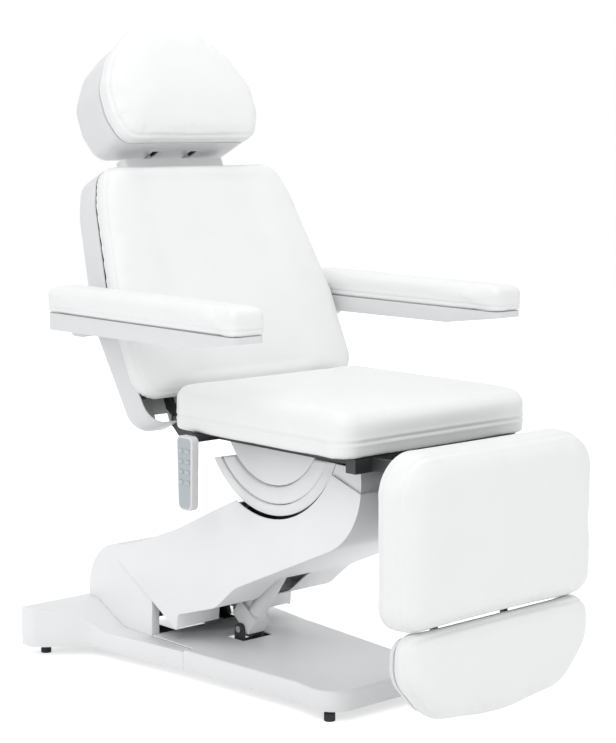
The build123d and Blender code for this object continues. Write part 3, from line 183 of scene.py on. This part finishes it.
def make_material(name, colour, rough, metal=0.0, grain=900.0, bump=0.1, depth=0.0004, vary=0.03,
                  kind="noise", coat=0.0, stretch=(1, 1, 1)):
    """A finish with fine surface grain, broad colour and gloss variation and slightly worn edges."""
    made = bpy.data.materials.new(name)
    made.use_nodes = True
    nodes, links = made.node_tree.nodes, made.node_tree.links
    shader = nodes["Principled BSDF"]
    shader.inputs["Metallic"].default_value = metal
    shader.inputs["Coat Weight"].default_value = coat
    shader.inputs["Coat Roughness"].default_value = COAT_ROUGHNESS
    coords = nodes.new("ShaderNodeTexCoord")
    mapping = nodes.new("ShaderNodeMapping")
    mapping.inputs["Scale"].default_value = stretch
    links.new(coords.outputs["Object"], mapping.inputs["Vector"])

    if kind == "cells":
        fine = nodes.new("ShaderNodeTexVoronoi")
        fine.feature = "F1"
        fine_out = fine.outputs["Distance"]
    elif kind == "layers":
        fine = nodes.new("ShaderNodeTexWave")
        fine.bands_direction = "Z"
        fine.inputs["Distortion"].default_value = 3.0
        fine.inputs["Detail"].default_value = 3.0
        fine_out = fine.outputs["Fac"]
    else:
        fine = nodes.new("ShaderNodeTexNoise")
        fine.inputs["Detail"].default_value = 4.0
        fine_out = fine.outputs["Fac"]
    fine.inputs["Scale"].default_value = grain
    links.new(mapping.outputs["Vector"], fine.inputs["Vector"])

    broad = nodes.new("ShaderNodeTexNoise")
    broad.inputs["Scale"].default_value = BROAD_SCALE
    broad.inputs["Detail"].default_value = BROAD_DETAIL
    links.new(coords.outputs["Object"], broad.inputs["Vector"])
    tone = nodes.new("ShaderNodeMapRange")
    tone.inputs["From Min"].default_value = BROAD_RANGE[0]
    tone.inputs["From Max"].default_value = BROAD_RANGE[1]
    tone.inputs["To Min"].default_value = 1.0 - vary
    tone.inputs["To Max"].default_value = 1.0 + vary
    links.new(broad.outputs["Fac"], tone.inputs["Value"])

    geometry = nodes.new("ShaderNodeNewGeometry")
    edge = nodes.new("ShaderNodeMapRange")
    edge.inputs["From Min"].default_value = EDGE_RANGE[0]
    edge.inputs["From Max"].default_value = EDGE_RANGE[1]
    edge.inputs["To Max"].default_value = EDGE_WEAR
    links.new(geometry.outputs["Pointiness"], edge.inputs["Value"])

    tint = nodes.new("ShaderNodeVectorMath")
    tint.operation = "SCALE"
    tint.inputs[0].default_value = colour
    links.new(tone.outputs["Result"], tint.inputs["Scale"])
    worn = nodes.new("ShaderNodeMixRGB")
    worn.inputs["Color2"].default_value = (*map(paler, colour), 1)
    links.new(edge.outputs["Result"], worn.inputs["Fac"])
    links.new(tint.outputs["Vector"], worn.inputs["Color1"])
    if kind == "layers":
        plies = nodes.new("ShaderNodeMixRGB")
        plies.blend_type = "MULTIPLY"
        plies.inputs["Fac"].default_value = PLY_CONTRAST
        links.new(worn.outputs["Color"], plies.inputs["Color1"])
        links.new(fine_out, plies.inputs["Color2"])
        links.new(plies.outputs["Color"], shader.inputs["Base Color"])
    else:
        links.new(worn.outputs["Color"], shader.inputs["Base Color"])

    gloss = nodes.new("ShaderNodeMapRange")
    gloss.inputs["To Min"].default_value = rough - GLOSS_SPREAD
    gloss.inputs["To Max"].default_value = rough + GLOSS_SPREAD
    links.new(broad.outputs["Fac"], gloss.inputs["Value"])
    links.new(gloss.outputs["Result"], shader.inputs["Roughness"])

    relief = nodes.new("ShaderNodeBump")
    relief.inputs["Strength"].default_value = bump
    relief.inputs["Distance"].default_value = depth
    links.new(fine_out, relief.inputs["Height"])
    links.new(relief.outputs["Normal"], shader.inputs["Normal"])
    return made


MATERIALS = {
    "upholstery": make_material("white_vinyl", (0.85, 0.85, 0.845), 0.42, grain=620, bump=0.35,
                                depth=0.0003, vary=0.012, kind="cells"),
    "grey_cover": make_material("cover_plastic", (0.87, 0.875, 0.88), 0.38, grain=1600, bump=0.12,
                                vary=0.012),
    "white_shell": make_material("shell_plastic", (0.72, 0.725, 0.73), 0.35, grain=1400, bump=0.10,
                                 vary=0.012),
    "dark_steel": make_material("powder_coat", (0.030, 0.031, 0.033), 0.5, grain=700, bump=0.3,
                                vary=0.15),
    "bright_steel": make_material("turned_steel", (0.56, 0.57, 0.58), 0.3, metal=1.0, grain=400,
                                  bump=0.12, vary=0.06, stretch=(0.05, 1, 1)),
    "rod_chrome": make_material("chromed_rod", (0.72, 0.73, 0.75), 0.1, metal=1.0, grain=900,
                                bump=0.02, vary=0.02),
    "dark_plastic": make_material("drive_plastic", (0.028, 0.028, 0.030), 0.45, grain=1100, bump=0.2,
                                  vary=0.1),
    "plywood": make_material("painted_plywood", (0.10, 0.095, 0.09), 0.6, grain=90, bump=0.2,
                             vary=0.12, kind="layers", stretch=(0.15, 0.15, 1)),
    "foot_rubber": make_material("black_rubber", (0.022, 0.022, 0.022), 0.75, grain=600, bump=0.35,
                                 vary=0.15),
    "handset_plastic": make_material("handset_shell", (0.72, 0.73, 0.735), 0.4, grain=1500, bump=0.12,
                                     vary=0.02),
    "handset_face": make_material("handset_film", (0.40, 0.435, 0.455), 0.35, grain=1700, bump=0.05,
                                  vary=0.03, coat=0.3),
    "key_plastic": make_material("key_caps", (0.45, 0.485, 0.505), 0.45, grain=1500, bump=0.1,
                                 vary=0.02),
}
SLOT_OF = {p["node"]: p["material_slot"] for p in frame["record"]["subparts"]}

for node, obj in frame["nodes"].items():
    for holder in obj.material_slots:
        holder.material = MATERIALS[SLOT_OF[node]]


# ---------------------------------------------------------------- shared makers

BEVEL_SEGMENTS = 3
BEVEL_ANGLE = radians(35)    # edges sharper than this are rounded
SHARP_ANGLE = radians(40)    # edges sharper than this are shaded as edges
FLAT_ANGLE = radians(1.0)    # faces closer to one plane than this are joined
MERGE = 0.00002              # points closer than this are joined

OUTLINE_STEP = 0.008         # between the points of an outline
TINY = 1e-6
CHUNK = 4000                 # points measured at a time
FACE_RINGS = (0.06, 0.25, 0.45, 0.65, 0.82)    # scales of the rings across a pad's face
ROUND_STEPS = 6              # around a pad's rounded edge
EDGE_INSET = 0.0005          # of the shell inside its outline
REAR_INSET = 0.001           # of the shell before its rear plane

CLOTH_PRESSURE = 4.0
CLOTH_MASS = 0.3
CLOTH_QUALITY = 4
CLOTH_FRAMES = 20

GROOVE = (0.0022, 0.0028)    # depth and width of a sewn line
WELT = (0.0012, 0.0045)      # height and width of the roll on each side of it
WELT_OFFSET = 0.006          # from the sewn line to the top of the roll


def finish_piece(obj, body, slot, nodes):
    obj.data.materials.clear()
    obj.data.materials.append(MATERIALS[slot])
    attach(obj, body)
    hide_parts(*nodes)


def apply_modifiers(obj):
    graph = bpy.context.evaluated_depsgraph_get()
    mesh = bpy.data.meshes.new_from_object(obj.evaluated_get(graph))
    obj.modifiers.clear()
    obj.data = mesh


def shade_smooth(mesh):
    for face in mesh.polygons:
        face.use_smooth = True


def moulded_cover(node, body, width):
    """A moulded cover: the CAD cover's shape with rounded edges and smooth shading."""
    obj = link_object(f"{node}_moulded", frame["nodes"][node].data.copy())
    work = bmesh.new()
    work.from_mesh(obj.data)
    bmesh.ops.remove_doubles(work, verts=work.verts, dist=MERGE)
    bmesh.ops.dissolve_limit(work, angle_limit=FLAT_ANGLE, verts=work.verts, edges=work.edges)
    work.to_mesh(obj.data)
    work.free()
    bevel = obj.modifiers.new("edge", "BEVEL")
    bevel.width = width
    bevel.segments = BEVEL_SEGMENTS
    bevel.limit_method = "ANGLE"
    bevel.angle_limit = BEVEL_ANGLE
    bevel.use_clamp_overlap = True
    apply_modifiers(obj)
    shade_smooth(obj.data)
    obj.data.set_sharp_from_angle(angle=SHARP_ANGLE)
    finish_piece(obj, body, SLOT_OF[node], [node])


def rounded(corners):
    """Sampled points of a closed outline; each corner is (u, v, radius)."""
    points = []
    count = len(corners)
    for i in range(count):
        here = Vector(corners[i][:2])
        to_last = (Vector(corners[i - 1][:2]) - here).normalized()
        to_next = (Vector(corners[(i + 1) % count][:2]) - here).normalized()
        radius = corners[i][2]
        half = to_last.angle(to_next) / 2
        back = radius / tan(half)
        a, b = here + to_last * back, here + to_next * back
        centre = here + (to_last + to_next).normalized() * (radius / sin(half))
        turn = pi - 2 * half
        bits = max(2, int(radius * turn / OUTLINE_STEP) + 1)
        va, vb = a - centre, b - centre
        for k in range(bits + 1):
            t = k / bits
            spoke = (va * (1 - t) + vb * t).normalized() * radius
            points.append(centre + spoke)
    closed = points + [points[0]]
    out = []
    for p, q in zip(closed, closed[1:]):
        bits = max(1, int((q - p).length / OUTLINE_STEP))
        out += [p + (q - p) * (k / bits) for k in range(bits)]
    return [p for i, p in enumerate(out) if (p - out[i - 1]).length > TINY]


def mirror_half(half, middle=()):
    """The corners of one half, those on the middle line, and the first half's mirror image."""
    return list(half) + list(middle) + [(-u, v, r) for u, v, r in reversed(half)]


def inside_depth(outline, u, v):
    """How far each point lies inside the outline, negative outside."""
    a = np.array([tuple(p) for p in outline])
    b = np.roll(a, -1, axis=0)
    depth = np.empty(len(u))
    for start in range(0, len(u), CHUNK):
        p = np.stack([u[start:start + CHUNK], v[start:start + CHUNK]], 1)[:, None, :]
        ab = (b - a)[None]
        t = np.clip(((p - a[None]) * ab).sum(2) / (ab ** 2).sum(2), 0, 1)
        gap = np.sqrt(((p - a[None] - ab * t[..., None]) ** 2).sum(2)).min(1)
        y = p[..., 1]
        spans = (a[None, :, 1] > y) != (b[None, :, 1] > y)
        rise = np.where(ab[..., 1] == 0, 1e-12, ab[..., 1])
        hits = (spans & (p[..., 0] < a[None, :, 0] + (y - a[None, :, 1]) * ab[..., 0] / rise)).sum(1)
        depth[start:start + CHUNK] = np.where(hits % 2 == 1, gap, -gap)
    return depth


def pad_shell(outline, w0, w1, r0, r1, plug):
    """A closed pad: outline in (u, v), front at w0, rear at w1, edges rounded by r0 and r1.

    The plug (inset, end) is a smaller part behind the rear."""
    count = len(outline)
    centre = sum(outline, Vector((0, 0))) / count
    inward = []
    for i in range(count):
        d = (outline[(i + 1) % count] - outline[i - 1]).normalized()
        n = Vector((d.y, -d.x))
        inward.append(n if n.dot(outline[i] - centre) < 0 else -n)
    rings = []

    def ring(inset, w, scale=1.0):
        points = [outline[i] + inward[i] * (inset + EDGE_INSET) for i in range(count)]
        rings.append([(centre.x + (p.x - centre.x) * scale, centre.y + (p.y - centre.y) * scale, w)
                      for p in points])

    for s in FACE_RINGS:
        ring(r0, w0, s)
    for k in range(ROUND_STEPS + 1):
        t = pi / 2 * k / ROUND_STEPS
        ring(r0 * (1 - sin(t)), w0 + r0 * (1 - cos(t)))
    for k in range(ROUND_STEPS + 1):
        t = pi / 2 * k / ROUND_STEPS
        ring(r1 * (1 - cos(t)), w1 - r1 * (1 - sin(t)))
    inset, end = plug if plug else (r1, w1)
    if plug:
        ring(inset, w1)
    for s in (1.0, *reversed(FACE_RINGS)):
        ring(inset, end, s)
    verts = [p for r in rings for p in r]
    faces = []
    for j in range(len(rings) - 1):
        for i in range(count):
            k = (i + 1) % count
            faces.append((j * count + i, j * count + k, (j + 1) * count + k, (j + 1) * count + i))
    faces.append(tuple(reversed(range(count))))
    faces.append(tuple((len(rings) - 1) * count + i for i in range(count)))
    mesh = bpy.data.meshes.new("pad")
    mesh.from_pydata(verts, [], faces)
    work = bmesh.new()
    work.from_mesh(mesh)
    bmesh.ops.recalc_face_normals(work, faces=work.faces)
    work.to_mesh(mesh)
    work.free()
    return mesh


def vectors_of(mesh, kind):
    """The vertices' places ("co") or normals ("normal"), one row each."""
    data = np.empty(len(mesh.vertices) * 3)
    mesh.vertices.foreach_get(kind, data)
    return data.reshape(-1, 3)


def set_points(mesh, points):
    mesh.vertices.foreach_set("co", np.ascontiguousarray(points, dtype=float).ravel())
    mesh.update()


def inflate(obj, cap):
    """Cloth under inner pressure for a few frames; no point moves further than the cap."""
    scene = bpy.context.scene
    start = vectors_of(obj.data, "co")
    cloth = obj.modifiers.new("puff", "CLOTH")
    cloth.settings.use_pressure = True
    cloth.settings.uniform_pressure_force = CLOTH_PRESSURE
    cloth.settings.effector_weights.gravity = 0.0
    cloth.settings.quality = CLOTH_QUALITY
    cloth.settings.mass = CLOTH_MASS
    cloth.point_cache.frame_start = 1
    cloth.point_cache.frame_end = CLOTH_FRAMES
    for number in range(1, CLOTH_FRAMES + 1):
        scene.frame_set(number)
    graph = bpy.context.evaluated_depsgraph_get()
    moved = vectors_of(obj.evaluated_get(graph).data, "co")
    obj.modifiers.clear()
    scene.frame_set(1)
    step = moved - start
    length = np.linalg.norm(step, axis=1, keepdims=True)
    set_points(obj.data, start + step * np.minimum(1.0, cap / np.maximum(length, 1e-9)))


def cushion(name, body, nodes, outline, w0, w1, r0, r1, place, voxel, seams, shape=None,
            cap=0.006, shrink=0.004, plug=None):
    """A padded piece: rounded shell, cloth under pressure, then its sewn seams."""
    obj = link_object(name, pad_shell(outline, w0 + shrink, w1 - REAR_INSET, r0, r1, plug))
    end = plug[1] if plug else w1
    remesh = obj.modifiers.new("grid", "REMESH")
    remesh.mode = "VOXEL"
    remesh.voxel_size = voxel
    apply_modifiers(obj)
    if shape:
        points = vectors_of(obj.data, "co")
        depth = inside_depth(outline, points[:, 0], points[:, 1])
        front = np.clip((w1 - points[:, 2]) / (w1 - w0), 0, 1)
        points[:, 2] += shape(points[:, 0], points[:, 1], depth) * front
        set_points(obj.data, points)
    inflate(obj, cap)
    fine = obj.modifiers.new("fine", "SUBSURF")
    fine.levels = 1
    fine.render_levels = 1
    apply_modifiers(obj)
    points = vectors_of(obj.data, "co")
    points[:, 2] = np.minimum(points[:, 2], end)
    depth = inside_depth(outline, points[:, 0], points[:, 1])
    normals = vectors_of(obj.data, "normal")
    points += normals * seams(points[:, 2], depth, normals)[:, None]
    set_points(obj.data, points)
    obj.data.transform(place)
    shade_smooth(obj.data)
    finish_piece(obj, body, "upholstery", nodes)


def sewn(distance, groove=GROOVE, welt=WELT):
    """A sewn line where the distance is 0: a groove with a roll on each side."""
    depth, width = groove
    height, spread = welt
    return (-depth * np.exp(-(distance / width) ** 2)
            + height * np.exp(-((np.abs(distance) - WELT_OFFSET) / spread) ** 2))


def side_seam(line, level=0.8, groove=GROOVE, welt=WELT):
    """A seam around the side at w = line, left out where the normal's w is over the level."""
    def push(w, depth, normal):
        return sewn(w - line, groove, welt) * (np.abs(normal[:, 2]) < level)
    return push


def edge_and_side_seams(inset, line, groove=GROOVE, welt=WELT, facing=0.25):
    """A seam on the front face, inset from the outline, and one around the side at w = line."""
    side = side_seam(line, 0.75)

    def push(w, depth, normal):
        return sewn(depth - inset, groove, welt) * (-normal[:, 2] > facing) + side(w, depth, normal)
    return push


# Pads are drawn in local frames: u across, v along the face, w from the front face to the rear.
SWAP = Matrix(((1, 0, 0, 0), (0, 0, 1, 0), (0, 1, 0, 0), (0, 0, 0, 1)))
FACE_UP = Matrix(((1, 0, 0, 0), (0, 1, 0, 0), (0, 0, -1, 0), (0, 0, 0, 1)))
UPRIGHT = Matrix.Translation((0, SHIFT_Y, 0)) @ SWAP    # v up, w to the rear
LEANING = BACK_PLACE @ SWAP                             # v up the backrest, w to its rear
LYING = Matrix.Translation((0, SHIFT_Y, 0)) @ FACE_UP   # v to the rear, w down


# ---------------------------------------------------------------- upholstery

def seat_shape(u, v, depth):
    """A crowned top that falls a little towards the front edge."""
    crown = np.clip(depth / 0.12, 0, 1)
    return -0.008 * crown * crown * (3 - 2 * crown) + 0.006 * np.clip((-0.36 - v) / 0.15, 0, 1) ** 2


def back_shape(u, v, depth):
    """A sunk middle with a lumbar swell, between raised bolsters."""
    side = np.clip((np.abs(u) - 0.150) / 0.075, 0, 1)
    side = side * side * (3 - 2 * side)
    hollow = 0.012 * (1 - side) * np.clip(depth / 0.05, 0, 1)
    swell = np.exp(-((v - 0.22) / 0.12) ** 2)
    lumbar = -0.008 * swell * np.clip(depth / 0.1, 0, 1) * (1 - side)
    return hollow + lumbar - 0.004


def head_shape(u, v, depth):
    crown = np.clip(depth / 0.13, 0, 1)
    return 0.014 * (1 - crown) ** 2 - 0.004 * crown


def leg_shape(u, v, depth):
    crown = np.clip(depth / 0.10, 0, 1)
    return -0.006 * crown * (2 - crown)


SEAT_OUTLINE = rounded([(-0.298, -0.516, 0.05), (0.298, -0.516, 0.05),
                        (0.298, 0.084, 0.04), (-0.298, 0.084, 0.04)])
BACK_OUTLINE = rounded(mirror_half([(0.342, 0.044, 0.06), (0.346, 0.270, 0.30),
                                    (0.302, 0.545, 0.25), (0.268, 0.637, 0.06)]))
HEAD_OUTLINE = rounded(mirror_half([(0.204, 0.680, 0.05), (0.231, 0.750, 0.06), (0.231, 0.825, 0.09),
                                    (0.185, 0.911, 0.09), (0.108, 0.979, 0.12)],
                                   [(0.0, 1.020, 0.25)]))
LEG_OUTLINE = rounded([(-0.304, 0.285, 0.06), (0.304, 0.285, 0.06),
                       (0.304, 0.669, 0.09), (-0.304, 0.669, 0.09)])
FOOT_OUTLINE = rounded(mirror_half([(0.290, 0.292, 0.045), (0.294, 0.190, 0.09), (0.206, 0.092, 0.12)],
                                   [(0.0, 0.066, 0.5)]))

cushion("seat_cushion_soft", "seat", ["seat_cushion"], SEAT_OUTLINE, w0=-0.735, w1=-0.6325,
        r0=0.028, r1=0.006, place=LYING, voxel=0.0065, seams=side_seam(-0.668), shape=seat_shape)
cushion("back_cushion_soft", "back", ["back_cushion"], BACK_OUTLINE, w0=-0.062, w1=-0.0155,
        r0=0.026, r1=0.003, place=LEANING, voxel=0.0065,
        seams=edge_and_side_seams(0.012, -0.026, (0.0016, 0.0022), (0.0006, 0.0045), 0.3),
        shape=back_shape, plug=(0.034, 0.0095))
cushion("headrest_pad_soft", "head", ["headrest_pad"], HEAD_OUTLINE, w0=-0.116, w1=-0.0522,
        r0=0.030, r1=0.004, place=LEANING, voxel=0.005,
        seams=edge_and_side_seams(0.010, -0.064), shape=head_shape)
cushion("legrest_pad_soft", "leg", ["legrest_pad"], LEG_OUTLINE, w0=-0.706, w1=-0.612,
        r0=0.046, r1=0.014, place=UPRIGHT, voxel=0.0065,
        seams=edge_and_side_seams(0.012, -0.632), shape=leg_shape)
cushion("footrest_pad_soft", "foot", ["footrest_pad"], FOOT_OUTLINE, w0=-0.704, w1=-0.652,
        r0=0.030, r1=0.010, place=UPRIGHT, voxel=0.006,
        seams=edge_and_side_seams(0.010, -0.665), shape=leg_shape)

ARM_FRONT_Y, ARM_REAR_Y = -0.344, 0.358
ARM_INNER_X, ARM_OUTER_X = 0.352, 0.451
ARM_TRAY_Z = 0.890
ARM_SLOPE = radians(0.4)     # the armrests rise this much towards the rear
ARM_PLACE = (Matrix.Translation((0, ARM_FRONT_Y + SHIFT_Y, ARM_TRAY_Z))
             @ Matrix.Rotation(ARM_SLOPE, 4, "X")
             @ Matrix.Translation((0, -ARM_FRONT_Y, -ARM_TRAY_Z)) @ FACE_UP)

for sign, word in ((-1, "right"), (1, "left")):
    near, far = sorted((sign * ARM_INNER_X, sign * ARM_OUTER_X))
    outline = rounded([(near, ARM_FRONT_Y, 0.022), (far, ARM_FRONT_Y, 0.022),
                       (far, ARM_REAR_Y, 0.026), (near, ARM_REAR_Y, 0.026)])
    cushion(f"armrest_pad_{word}_soft", f"armrest_{word}", [f"armrest_pad_{word}"], outline,
            w0=-0.952, w1=-0.8902, r0=0.020, r1=0.002, place=ARM_PLACE, voxel=0.0045,
            seams=side_seam(-0.903, 0.8, (0.0015, 0.002), (0.0008, 0.003)), cap=0.004, shrink=0.003)

# ---------------------------------------------------------------- moulded covers

COVERS = (                   # node, body, width of the rounded edges
    ("base_front_cover", "base", 0.004),
    ("base_rear_cover", "base", 0.006),
    ("pivot_housing", "base", 0.006),
    ("lift_arm_cover", "lift_arm", 0.007),
    ("round_cover_outer", "carrier", 0.0015),
    ("round_cover_middle", "carrier", 0.005),
    ("round_cover_inner", "seat", 0.005),
    ("arm_head_cover", "carrier", 0.001),
    ("back_shell", "back", 0.0012),
    ("headrest_shell", "head", 0.0012),
    ("armrest_tray_right", "armrest_right", 0.002),
    ("armrest_tray_left", "armrest_left", 0.002),
    ("handset_case", "handset", 0.001),
)
for node, body, width in COVERS:
    moulded_cover(node, body, width)
